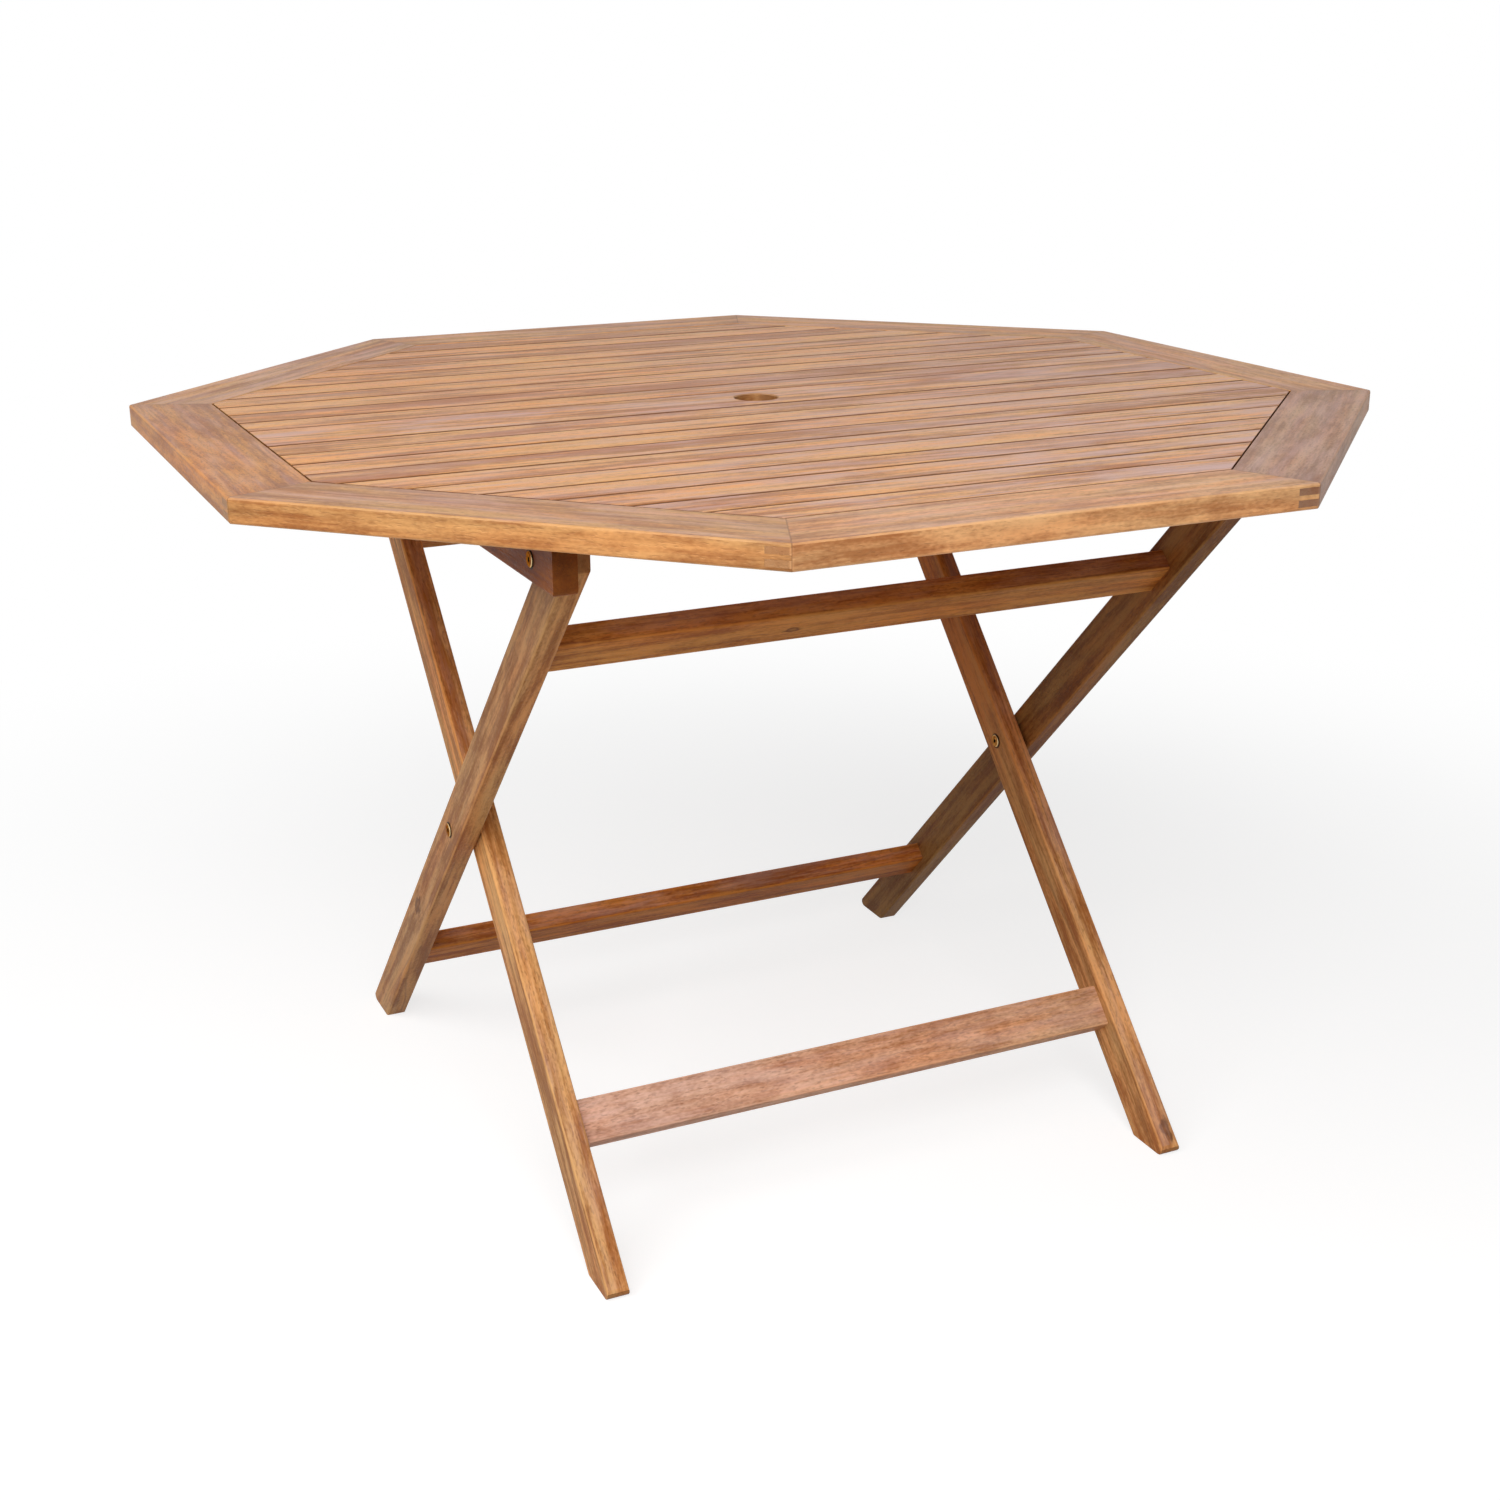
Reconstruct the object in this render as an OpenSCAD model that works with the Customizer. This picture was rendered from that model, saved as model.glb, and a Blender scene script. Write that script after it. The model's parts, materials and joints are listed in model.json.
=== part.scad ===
// Folding octagonal garden table in oiled hardwood, with a parasol hole.
// Millimetres, +Z up, origin on the floor under the middle of the top.
// The slats run along X. The outer leg frame is hinged near the front of the top and
// has its feet at the back. The inner frame crosses it and bears under the back.

/* [Tabletop] */
// Width of the top across its flats
table_w = 1100; // [900:10:1400]
// Height of the upper surface above the floor
table_h = 720; // [660:5:780]
// Thickness of the rim boards and slats
top_t = 21; // [18:0.5:28]
// Width of the rim boards
rim_w = 72; // [60:1:100]
// Number of narrow slats on each side of the centre slat
slats_per_side = 10; // [7:1:11]
// Width of the centre slat, which holds the parasol hole
centre_slat_w = 74; // [64:1:110]
// Gap between neighbouring slats
slat_gap = 2; // [1:0.5:6]
// Gap between a slat's end and the rim
slat_end_gap = 1.5; // [0.5:0.5:4]
// Diameter of the parasol hole
parasol_d = 42; // [30:1:50]
// Bevel round the mouth of the parasol hole
parasol_bevel = 1; // [0.5:0.5:3]
// Rounding of the rim's long edges
rim_edge_r = 2.4; // [1:0.1:2.5]
// Rounding of the slats' long edges
slat_edge_r = 1.5; // [0.5:0.1:3]
// Rounding of the eight outer corners
corner_r = 5; // [2:1:12]

/* [Top joinery] */
// Thickness of the tongue at each slat end
tongue_t = 6; // [4:0.5:8]
// Length of the tongue beyond the rim's inner edge
tongue_l = 7; // [4:0.5:12]
// Thickness of a finger in the rim's corner joints
finger_t = 5.5; // [4:0.5:6]
// Length of a finger past the mitre
finger_l = 18.5; // [8:0.5:24]
// Space between the two fingers of a corner
finger_space = 4; // [3:0.5:6]
// Glue line round fingers, tongues and dowels
glue_gap = 0.1; // [0.05:0.05:0.3]

/* [Battens] */
// Thickness of a batten
batten_t = 20; // [18:1:30]
// Depth of a batten below the top
batten_d = 43; // [36:1:60]
// Distance from a batten's ends to the top's outer edge, along the batten
batten_inset = 40.5; // [20:0.5:60]
// Rounding of the lower corners at a batten's ends
batten_nose_r = 5; // [2:1:15]
// Distance from the outermost screws to the batten's ends
screw_end = 24; // [16:1:28]

/* [Leg frames] */
// Width over the outer frame's legs
frame_w = 652; // [560:2:720]
// Thickness of the legs and rails
leg_t = 21; // [18:0.5:30]
// Width of the legs and rails
leg_w = 42; // [36:1:60]
// Distance from the hinge bolts to the battens' front ends
hinge_end = 50; // [40:1:70]
// Height of the crossing bolts above the floor
cross_h = 330; // [300:1:350]
// How much closer to the middle the inner feet stand than the outer feet
foot_stagger = 11; // [0:1:20]
// Depth of the hinge axis under the tabletop
hinge_drop = 24; // [24:0.5:30]
// Distance from the crossing to the middle of each upper rail
upper_rail_at = 336; // [300:1:360]
// Distance from the crossing to the middle of each lower rail
lower_rail_at = 307; // [280:1:330]
// Rounding of the long edges of legs, rails and battens
edge_r = 2.5; // [1:0.5:5]
// Rounding of the leg ends
leg_end_r = 6; // [3:1:10]
// Distance from the hinge axis to the upright cut on the leg's top end
leg_top_cut = 17; // [15:0.5:20]
// Clearance between the outer legs' top ends and the top
leg_top_gap = 3; // [1:0.5:3]
// Clearance under the top where the inner legs bear
bearing_gap = 0.3; // [0.2:0.1:1]

/* [Hardware] */
// Diameter of the sleeve that each joint turns on
sleeve_d = 8; // [7:0.5:12]
// Diameter of the bolt inside the sleeve
bolt_d = 6; // [4:0.5:6]
// Diameter of the flat heads
head_d = 13; // [12:0.5:18]
// Thickness of the flat heads
head_t = 1.5; // [1:0.1:3]
// Width of the key recess across its flats
key_w = 4; // [3:0.5:5]
// Depth of the key recess
key_depth = 3.5; // [2:0.5:5]
// Length of bolt inside the sleeve
bolt_grip = 28; // [20:1:34]
// Outer diameter of the washers
washer_d = 20; // [16:1:26]
// Space between the outer and the inner legs
cross_space = 2.5; // [1.5:0.1:5]
// Space between the battens and the outer legs
hinge_space = 1.2; // [1:0.1:4]
// Radial clearance of the turning sleeves
turn_gap = 0.05; // [0.03:0.01:0.1]
// Clearance between faces that turn against each other
face_gap = 0.2; // [0.1:0.05:0.5]
// Diameter of the dowels
dowel_d = 8; // [6:1:10]
// Depth of a dowel in a leg
dowel_in_leg = 13; // [8:1:16]
// Depth of a dowel in a rail
dowel_in_rail = 18; // [12:1:30]
// Distance between the two dowels of a joint
dowel_pitch = 22; // [16:1:26]
// Shank diameter of the wood screws
screw_d = 4; // [3:0.5:5]
// Head diameter of the wood screws
screw_head_d = 7.5; // [6:0.5:9]
// Length of the wood screws
screw_l = 42; // [35:1:45]
// Depth of the screw heads inside the battens
screw_sink = 12; // [8:1:16]

/* [Hidden] */
SIDES = [-1, 1];
RIM_NAMES = ["rim_front", "rim_front_right", "rim_right", "rim_back_right",
    "rim_back", "rim_back_left", "rim_left", "rim_front_left"];
FRONT_SLATS = [for (k = [1:slats_per_side]) str("slat_front_", k)];
BACK_SLATS = [for (k = [1:slats_per_side]) str("slat_back_", k)];

// Colours
RIM_COLOUR = "#c98a52";
SLAT_COLOUR = "#c99873";
LEG_COLOUR = "#96603a";
BATTEN_COLOUR = "#8a5a3c";
DOWEL_COLOUR = "#d8b68a";
BRASS_COLOUR = "#c8a45a";
STEEL_COLOUR = "#b9b4a8";

// Small sizes that stay fixed: hidden arrises, play in the joinery and the screws' details
arris_r = 0.8;
hinge_corner_r = 2;
tongue_inset = 1;
groove_spare = 1;
finger_root = 1;
head_bevel = 0.6;
sleeve_setback = 2;
sleeve_web = 2.5;
thread_gap = 0.05;
screw_gap = 0.1;
driver_gap = 0.5;
screw_tip_l = 4;
screw_tip_d = 0.8;
recess_w = 1;
recess_depth = 1.4;
row_space = 20;
// How far cutters run past the faces they open, and how far joined forms lap
past = 1;
lap = 0.01;
ARC_STEPS = 4;
FINE = 48;

// Tabletop levels and outlines
under = table_h - top_t;
mid_z = under + top_t / 2;
rim_out = table_w / 2;
rim_in = rim_out - rim_w;
reach = table_w; // long enough to run right across the top
slat_w = (2 * rim_in - centre_slat_w - (2 * slats_per_side + 2) * slat_gap)
    / (2 * slats_per_side);
slat_pitch = slat_w + slat_gap;
groove_t = tongue_t + 2 * glue_gap;
groove_l = tongue_l + groove_spare;
finger_low = mid_z - finger_space / 2 - finger_t;
finger_high = mid_z + finger_space / 2;

// Leg frames: x faces, axes and end levels
outer_x = frame_w / 2;
outer_in_x = outer_x - leg_t;
inner_x = outer_in_x - cross_space;
inner_in_x = inner_x - leg_t;
batten_x = outer_x + hinge_space;
batten_out_x = batten_x + batten_t;
batten_mid_x = batten_x + batten_t / 2;
batten_l = 2 * (rim_out * sqrt(2) - batten_out_x - batten_inset);
rim_screw_y = batten_l / 2 - screw_end;
hinge_y = batten_l / 2 - hinge_end;
hinge_z = under - hinge_drop;
outer_lean = atan((hinge_z - cross_h) / hinge_y);
inner_lean = atan(cross_h / (cross_h / tan(outer_lean) - foot_stagger));
outer_top_z = under - leg_top_gap;
inner_top_z = under - bearing_gap;
bar_l = 2 * table_w; // long enough for a leg at any lean
dowel_l = dowel_in_leg + dowel_in_rail;
sleeve_bore_d = sleeve_d + 2 * turn_gap;

// Slats fastened by the battens, and where their screws go
screwed_slats = min(slats_per_side, floor((rim_screw_y - row_space - centre_slat_w / 2) / slat_pitch));
screw_rows = concat([-rim_screw_y],
    [for (k = [-screwed_slats:screwed_slats]) slat_y(k)], [rim_screw_y]);
screw_head_z = under - batten_d + screw_sink;
screw_cone_h = (screw_head_d - screw_d) / 2;
screw_body_l = screw_l - screw_tip_l;

// Middle of slat k, counted from the centre slat, negative towards the front
function slat_y(k) = k == 0 ? 0
    : sign(k) * (centre_slat_w / 2 + slat_gap + slat_w / 2 + (abs(k) - 1) * slat_pitch);

// Vertex k of an octagon of half-width a across its flats
function octagon_point(a, k) = a / cos(22.5) * [cos(45 * k - 112.5), sin(45 * k - 112.5)];

// Points of an outline with each corner i rounded to radius r[i]
function unit(v) = v / norm(v);
function corner_arc(a, b, c, r) =
    let (u = unit(a - b), w = unit(c - b), half = acos(u * w) / 2, back = r / tan(half),
        mid = b + unit(u + w) * r / sin(half), start = b + u * back - mid,
        turn = (u[0] * w[1] - u[1] * w[0] > 0 ? -1 : 1) * (180 - 2 * half))
    [for (k = [0:ARC_STEPS]) let (t = turn * k / ARC_STEPS)
        mid + [start[0] * cos(t) - start[1] * sin(t), start[0] * sin(t) + start[1] * cos(t)]];
function rounded(pts, r) = let (n = len(pts)) [for (i = [0:n - 1])
    each (r[i] > 0 ? corner_arc(pts[(i + n - 1) % n], pts[i], pts[(i + 1) % n], r[i]) : [pts[i]])];
function rectangle(w, h) = [[-w / 2, -h / 2], [w / 2, -h / 2], [w / 2, h / 2], [-w / 2, h / 2]];

// Place on a leg's axis at distance d below the crossing; side is 1 where it runs down to
// the back and -1 where it runs down to the front
function along(lean, side, d) = [side * d * cos(lean), cross_h - d * sin(lean)];

// Outline that rounds the eight corners of the top. Each arc's outer chords are drawn twice as
// long, so between the corners it lies just outside the boards and trims nothing
module corner_outline() {
    polygon([for (k = [0:7])
        let (arc = corner_arc(octagon_point(rim_out, k - 1), octagon_point(rim_out, k),
                octagon_point(rim_out, k + 1), corner_r))
        each concat([2 * arc[0] - arc[1]], [for (j = [1:ARC_STEPS - 1]) arc[j]],
            [2 * arc[ARC_STEPS] - arc[ARC_STEPS - 1]])]);
}

module octagon(a) {
    polygon([for (k = [0:7]) octagon_point(a, k)]);
}

// A plan shape drawn up through the whole top and past both its faces
module through_top() {
    translate([0, 0, under - past])
        linear_extrude(top_t + 2 * past)
            children();
}

// A wedge of the plan that holds rim board i, cut along its two mitres
module mitre_wedge(i) {
    rotate([0, 0, 45 * i])
        polygon([[0, 0], reach * [cos(-112.5), sin(-112.5)], reach * [cos(-67.5), sin(-67.5)]]);
}

// The strip past rim board i's first mitre that its fingers fill, rooted in the board
module finger_strip(i, length) {
    rotate([0, 0, 45 * i - 112.5])
        translate([0, -length])
            square([reach, length + finger_root]);
}

module finger_levels(grow) {
    for (z = [finger_low, finger_high])
        translate([0, 0, z - grow])
            linear_extrude(finger_t + 2 * grow)
                children();
}

// A straight board of the rim's section along the flat numbered i
module rim_bar(i) {
    section = rounded([[rim_in, under], [rim_out, under], [rim_out, table_h], [rim_in, table_h]],
        [arris_r, rim_edge_r, rim_edge_r, arris_r]);
    rotate([0, 0, 45 * i - 90])
        translate([0, reach / 2, 0])
            rotate([90, 0, 0])
                linear_extrude(reach)
                    polygon(section);
}

// Rim board i: fingers at its first mitre, slots for the next board's at its second
module rim_board(i) {
    color(RIM_COLOUR)
    difference() {
        intersection() {
            union() {
                intersection() {
                    rim_bar(i);
                    through_top()
                        mitre_wedge(i);
                }
                intersection() {
                    rim_bar(i - 1);
                    finger_levels(0)
                        finger_strip(i, finger_l);
                }
            }
            through_top()
                corner_outline();
        }
        finger_levels(glue_gap)
            finger_strip(i + 1, finger_l + glue_gap);
        translate([0, 0, mid_z - groove_t / 2])
            linear_extrude(groove_t)
                octagon(rim_in + groove_l);
    }
}

// A bar along X of the given section, with rounded long edges
module slat_bar(w, y) {
    section = rounded(rectangle(w, top_t), [arris_r, arris_r, slat_edge_r, slat_edge_r]);
    translate([-rim_in, y, mid_z])
        rotate([90, 0, 90])
            linear_extrude(2 * rim_in)
                polygon(section);
}

// Slat k with a tongue at each end and the pilot holes of its batten screws
module slat(k) {
    w = k == 0 ? centre_slat_w : slat_w;
    y = slat_y(k);
    color(SLAT_COLOUR)
    difference() {
        union() {
            intersection() {
                slat_bar(w, y);
                through_top()
                    octagon(rim_in - slat_end_gap);
            }
            translate([0, 0, mid_z - tongue_t / 2])
                linear_extrude(tongue_t)
                    intersection() {
                        octagon(rim_in + tongue_l);
                        translate([0, y])
                            square([2 * reach, w - 2 * tongue_inset], center = true);
                    }
        }
        if (abs(k) <= screwed_slats)
            screw_pilots([y]);
        if (k == 0)
            parasol_hole();
    }
}

module parasol_hole() {
    mouth_d = parasol_d + 2 * parasol_bevel;
    translate([0, 0, under - past])
        cylinder(h = top_t + 2 * past, d = parasol_d, $fn = FINE);
    translate([0, 0, table_h - parasol_bevel])
        cylinder(h = parasol_bevel + lap, d1 = parasol_d, d2 = mouth_d, $fn = FINE);
    translate([0, 0, under - lap])
        cylinder(h = parasol_bevel + lap, d1 = mouth_d, d2 = parasol_d, $fn = FINE);
}

// Pilot holes in the top over both battens, at the given rows
module screw_pilots(rows) {
    for (side = SIDES, y = rows)
        translate([side * batten_mid_x, y, under - past])
            cylinder(h = screw_head_z + screw_l + screw_gap + past - under,
                d = screw_d + 2 * screw_gap, $fn = FINE);
}

module rim_with_pilots(i) {
    color(RIM_COLOUR)
    difference() {
        rim_board(i);
        screw_pilots([-rim_screw_y, rim_screw_y]);
    }
}

// Batten with its screw holes and the bore for the hinge bolt
module batten(side) {
    low = under - batten_d;
    outline = rounded([[-batten_l / 2, under], [-batten_l / 2, low], [batten_l / 2, low],
        [batten_l / 2, under]], [arris_r, batten_nose_r, batten_nose_r, arris_r]);
    color(BATTEN_COLOUR)
    difference() {
        intersection() {
            translate([side * batten_mid_x - batten_t / 2 - past, 0, 0])
                rotate([90, 0, 90])
                    linear_extrude(batten_t + 2 * past)
                        polygon(outline);
            translate([side * batten_mid_x, batten_l / 2 + past, under - batten_d / 2])
                rotate([90, 0, 0])
                    linear_extrude(batten_l + 2 * past)
                        polygon(rounded(rectangle(batten_t, batten_d),
                            [edge_r, edge_r, arris_r, arris_r]));
        }
        for (y = screw_rows)
            translate([side * batten_mid_x, y, 0]) {
                translate([0, 0, low - past])
                    cylinder(h = screw_sink + past, d = screw_head_d + 2 * driver_gap, $fn = FINE);
                translate([0, 0, low])
                    cylinder(h = batten_d + past, d = screw_d + 2 * screw_gap, $fn = FINE);
                translate([0, 0, screw_head_z - lap])
                    cylinder(h = screw_cone_h, d1 = screw_head_d + 2 * screw_gap,
                        d2 = screw_d + 2 * screw_gap, $fn = FINE);
            }
        cross_bore(side * batten_mid_x, -hinge_y, hinge_z, batten_t, sleeve_d + glue_gap);
    }
}

// A bore along X of the given diameter through a board centred at x
module cross_bore(x, y, z, t, d) {
    translate([x - t / 2 - past, y, z])
        rotate([0, 90, 0])
            cylinder(h = t + 2 * past, d = d, $fn = FINE);
}

// Countersunk wood screw, head down, with a cross recess
module wood_screw(x, y) {
    translate([x, y, screw_head_z])
    difference() {
        union() {
            cylinder(h = screw_cone_h, d1 = screw_head_d, d2 = screw_d, $fn = FINE);
            cylinder(h = screw_body_l, d = screw_d, $fn = FINE);
            translate([0, 0, screw_body_l])
                cylinder(h = screw_tip_l, d1 = screw_d, d2 = screw_tip_d, $fn = FINE);
        }
        for (turn = [0, 90])
            rotate([0, 0, turn])
                cube([screw_head_d / 2, recess_w, 2 * recess_depth], center = true);
    }
}

module batten_screws() {
    color(STEEL_COLOUR)
    for (side = SIDES, y = screw_rows)
        wood_screw(side * batten_mid_x, y);
}

// A leg: the bar on its axis, cut to the outline of its two ends in the YZ plane
module leg_blank(x, lean, side, outline) {
    intersection() {
        translate([x, 0, cross_h])
            rotate([side * (90 - lean), 0, 0])
                translate([0, 0, -bar_l / 2])
                    linear_extrude(bar_l)
                        polygon(rounded(rectangle(leg_t, leg_w), [edge_r, edge_r, edge_r, edge_r]));
        translate([x - leg_t / 2 - past, 0, 0])
            rotate([90, 0, 90])
                linear_extrude(leg_t + 2 * past)
                    polygon(outline);
    }
}

// Where a leg's edge face, offset across its axis, meets a level
function edge_y(lean, side, offset, z) =
    side * ((cross_h - z) / tan(lean) + offset / sin(lean));

// Ends of an outer leg: top corner cut upright in front of the hinge, rounded foot behind
outer_outline = let (
        back_top = edge_y(outer_lean, 1, leg_w / 2, outer_top_z),
        cut_y = -hinge_y - leg_top_cut,
        cut_z = cross_h - (cut_y + leg_w / 2 / sin(outer_lean)) * tan(outer_lean))
    rounded([[back_top, outer_top_z], [cut_y, outer_top_z], [cut_y, cut_z],
        [edge_y(outer_lean, 1, -leg_w / 2, 0), 0], [edge_y(outer_lean, 1, leg_w / 2, 0), 0]],
        [leg_end_r / 2, hinge_corner_r, leg_end_r, leg_end_r / 2, leg_end_r]);

// Ends of an inner leg: the top end bears flat and has a round nose towards the front
inner_outline = let (
        front_top = edge_y(inner_lean, -1, leg_w / 2, inner_top_z),
        back_top = edge_y(inner_lean, -1, -leg_w / 2, inner_top_z),
        toe = edge_y(inner_lean, -1, leg_w / 2, 0))
    rounded([[front_top, inner_top_z], [back_top, inner_top_z],
        [edge_y(inner_lean, -1, -leg_w / 2, 0), 0], [toe, 0]],
        [leg_w / 2, leg_end_r, leg_end_r / 2, leg_end_r]);

// Dowel places along a rail joint, measured along the leg from the crossing
function dowel_places(at) = [at - dowel_pitch / 2, at + dowel_pitch / 2];
function rail_places() = concat(dowel_places(-upper_rail_at), dowel_places(lower_rail_at));

// Blind holes for the dowels of one leg, open on its inner face
module leg_dowel_holes(face_x, side_x, lean, side) {
    for (d = rail_places())
        let (p = along(lean, side, d))
            translate([side_x * face_x, p[0], p[1]])
                rotate([0, side_x * 90, 0])
                    translate([0, 0, -past])
                        cylinder(h = dowel_in_leg + glue_gap + past, d = dowel_d + glue_gap,
                            $fn = FINE);
}

module outer_leg(side_x) {
    x = side_x * (outer_x - leg_t / 2);
    color(LEG_COLOUR)
    difference() {
        leg_blank(x, outer_lean, 1, outer_outline);
        cross_bore(x, -hinge_y, hinge_z, leg_t, sleeve_bore_d);
        cross_bore(x, 0, cross_h, leg_t, sleeve_d + glue_gap);
        leg_dowel_holes(outer_in_x, side_x, outer_lean, 1);
    }
}

module inner_leg(side_x) {
    x = side_x * (inner_x - leg_t / 2);
    color(LEG_COLOUR)
    difference() {
        leg_blank(x, inner_lean, -1, inner_outline);
        cross_bore(x, 0, cross_h, leg_t, sleeve_bore_d);
        leg_dowel_holes(inner_in_x, side_x, inner_lean, -1);
    }
}

// A rail between two legs, its width along the leg, with dowel holes in both ends
module rail(half_l, lean, side, at) {
    p = along(lean, side, at);
    color(LEG_COLOUR)
    translate([0, p[0], p[1]])
        rotate([side * (90 - lean), 0, 0])
            difference() {
                translate([-half_l, 0, 0])
                    rotate([90, 0, 90])
                        linear_extrude(2 * half_l)
                            polygon(rounded(rectangle(leg_t, leg_w), [edge_r, edge_r, edge_r, edge_r]));
                for (s = SIDES, d = [-dowel_pitch / 2, dowel_pitch / 2])
                    translate([s * half_l, 0, d])
                        rotate([0, -s * 90, 0])
                            translate([0, 0, -past])
                                cylinder(h = dowel_in_rail + glue_gap + past,
                                    d = dowel_d + glue_gap, $fn = FINE);
            }
}

module frame_dowels(face_x, lean, side) {
    color(DOWEL_COLOUR)
    for (s = SIDES, d = rail_places())
        let (p = along(lean, side, d))
            translate([s * (face_x - dowel_in_rail), p[0], p[1]])
                rotate([0, s * 90, 0])
                    cylinder(h = dowel_l, d = dowel_d, $fn = FINE);
}

// Flat head with a bevelled rim, its outer face at 0, and its key recess
module flat_head() {
    rotate_extrude($fn = FINE)
        polygon([[0, 0], [head_d / 2 - head_bevel, 0], [head_d / 2, head_bevel],
            [head_d / 2, head_t], [0, head_t]]);
}

module hex_recess() {
    translate([0, 0, -lap])
        cylinder(h = key_depth + lap, d = key_w / cos(30), $fn = 6);
}

// Bolt with a flat head outside x_head, its shank pointing to the middle
module flat_bolt(side, x_head, y, z) {
    translate([side * (x_head + head_t), y, z])
        rotate([0, -side * 90, 0])
            difference() {
                union() {
                    flat_head();
                    cylinder(h = head_t + sleeve_setback + bolt_grip, d = bolt_d, $fn = FINE);
                }
                hex_recess();
            }
}

// Sleeve nut with its flat head at x_head, its tube pointing outwards to x_tip
module sleeve_nut(side, x_head, x_tip, y, z) {
    translate([side * (x_head - head_t), y, z])
        rotate([0, side * 90, 0])
            difference() {
                union() {
                    flat_head();
                    cylinder(h = x_tip - x_head + head_t, d = sleeve_d, $fn = FINE);
                }
                hex_recess();
                translate([0, 0, key_depth + sleeve_web])
                    cylinder(h = x_tip - x_head, d = bolt_d + 2 * thread_gap, $fn = FINE);
            }
}

module ring(side, x_from, t, y, z) {
    translate([side > 0 ? x_from : -x_from - t, y, z])
        rotate([0, 90, 0])
            difference() {
                cylinder(h = t, d = washer_d, $fn = FINE);
                translate([0, 0, -past])
                    cylinder(h = t + 2 * past, d = sleeve_d + 2 * face_gap, $fn = FINE);
            }
}

module hinge_bolts() {
    color(BRASS_COLOUR)
    for (side = SIDES)
        flat_bolt(side, batten_out_x, -hinge_y, hinge_z);
}

module hinge_sleeves() {
    color(BRASS_COLOUR)
    for (side = SIDES)
        sleeve_nut(side, outer_in_x - face_gap, batten_out_x - sleeve_setback, -hinge_y, hinge_z);
}

module hinge_washers() {
    color(STEEL_COLOUR)
    for (side = SIDES)
        ring(side, outer_x + face_gap, hinge_space - face_gap, -hinge_y, hinge_z);
}

module crossing_bolts() {
    color(BRASS_COLOUR)
    for (side = SIDES)
        flat_bolt(side, outer_x, 0, cross_h);
}

module crossing_sleeves() {
    color(BRASS_COLOUR)
    for (side = SIDES)
        sleeve_nut(side, inner_in_x - face_gap, outer_x - sleeve_setback, 0, cross_h);
}

module crossing_washers() {
    color(STEEL_COLOUR)
    for (side = SIDES)
        ring(side, inner_x + face_gap, cross_space - face_gap, 0, cross_h);
}

for (i = [0:7])
    rim_with_pilots(i);
for (k = [1:slats_per_side]) {
    slat(-k);
    slat(k);
}
slat(0);  // slat_centre
batten(-1);  // batten_left
batten(1);  // batten_right
batten_screws();
outer_leg(-1);  // outer_leg_left
outer_leg(1);  // outer_leg_right
rail(outer_in_x, outer_lean, 1, -upper_rail_at);  // outer_upper_rail
rail(outer_in_x, outer_lean, 1, lower_rail_at);  // outer_lower_rail
frame_dowels(outer_in_x, outer_lean, 1);  // outer_frame_dowels
inner_leg(-1);  // inner_leg_left
inner_leg(1);  // inner_leg_right
rail(inner_in_x, inner_lean, -1, -upper_rail_at);  // inner_upper_rail
rail(inner_in_x, inner_lean, -1, lower_rail_at);  // inner_lower_rail
frame_dowels(inner_in_x, inner_lean, -1);  // inner_frame_dowels
hinge_bolts();
hinge_sleeves();
hinge_washers();
crossing_bolts();
crossing_sleeves();
crossing_washers();
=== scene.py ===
"""A folding octagonal garden table in oiled acacia: the finish of every piece, over the CAD frame.

Every board is the same wood cut from its own place in the log. One node group draws that wood in
millimetres in the board's own axes, and each board's material gives it the board's axes, its
number and its tone. The narrow slats and the batten screws repeat, so geometry nodes make them.
"""
import functools
import json
import math

import bpy
from bpy.props import FloatProperty, FloatVectorProperty, IntProperty, PointerProperty
from mathutils import Euler, Matrix, Vector


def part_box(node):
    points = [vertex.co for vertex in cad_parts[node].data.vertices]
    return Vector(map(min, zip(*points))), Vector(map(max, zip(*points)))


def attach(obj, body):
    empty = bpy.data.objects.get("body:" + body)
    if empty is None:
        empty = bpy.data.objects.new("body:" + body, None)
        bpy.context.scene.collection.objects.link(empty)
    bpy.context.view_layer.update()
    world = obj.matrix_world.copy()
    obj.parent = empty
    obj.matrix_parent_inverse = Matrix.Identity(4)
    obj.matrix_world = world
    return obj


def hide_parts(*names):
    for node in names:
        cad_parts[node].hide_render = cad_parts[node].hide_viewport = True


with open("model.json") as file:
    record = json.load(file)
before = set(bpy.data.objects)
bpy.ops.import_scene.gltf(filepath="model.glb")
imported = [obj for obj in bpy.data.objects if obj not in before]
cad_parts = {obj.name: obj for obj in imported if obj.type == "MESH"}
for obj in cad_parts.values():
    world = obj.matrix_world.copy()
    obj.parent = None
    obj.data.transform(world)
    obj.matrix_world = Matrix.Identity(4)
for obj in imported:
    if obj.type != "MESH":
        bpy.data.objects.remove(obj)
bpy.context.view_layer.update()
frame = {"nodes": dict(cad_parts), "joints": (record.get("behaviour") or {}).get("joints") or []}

bl_info = {
    "name": "Folding garden table",
    "version": (1, 0, 0),
    "blender": (4, 5, 0),
    "location": "View3D > Sidebar > Garden table",
    "description": "Dresses the solids of a folding octagonal garden table in oiled wood",
    "category": "Object",
}

MM = 0.001
NODES = frame["nodes"]
JOINTS = {joint["name"]: joint for joint in frame["joints"]}

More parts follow.
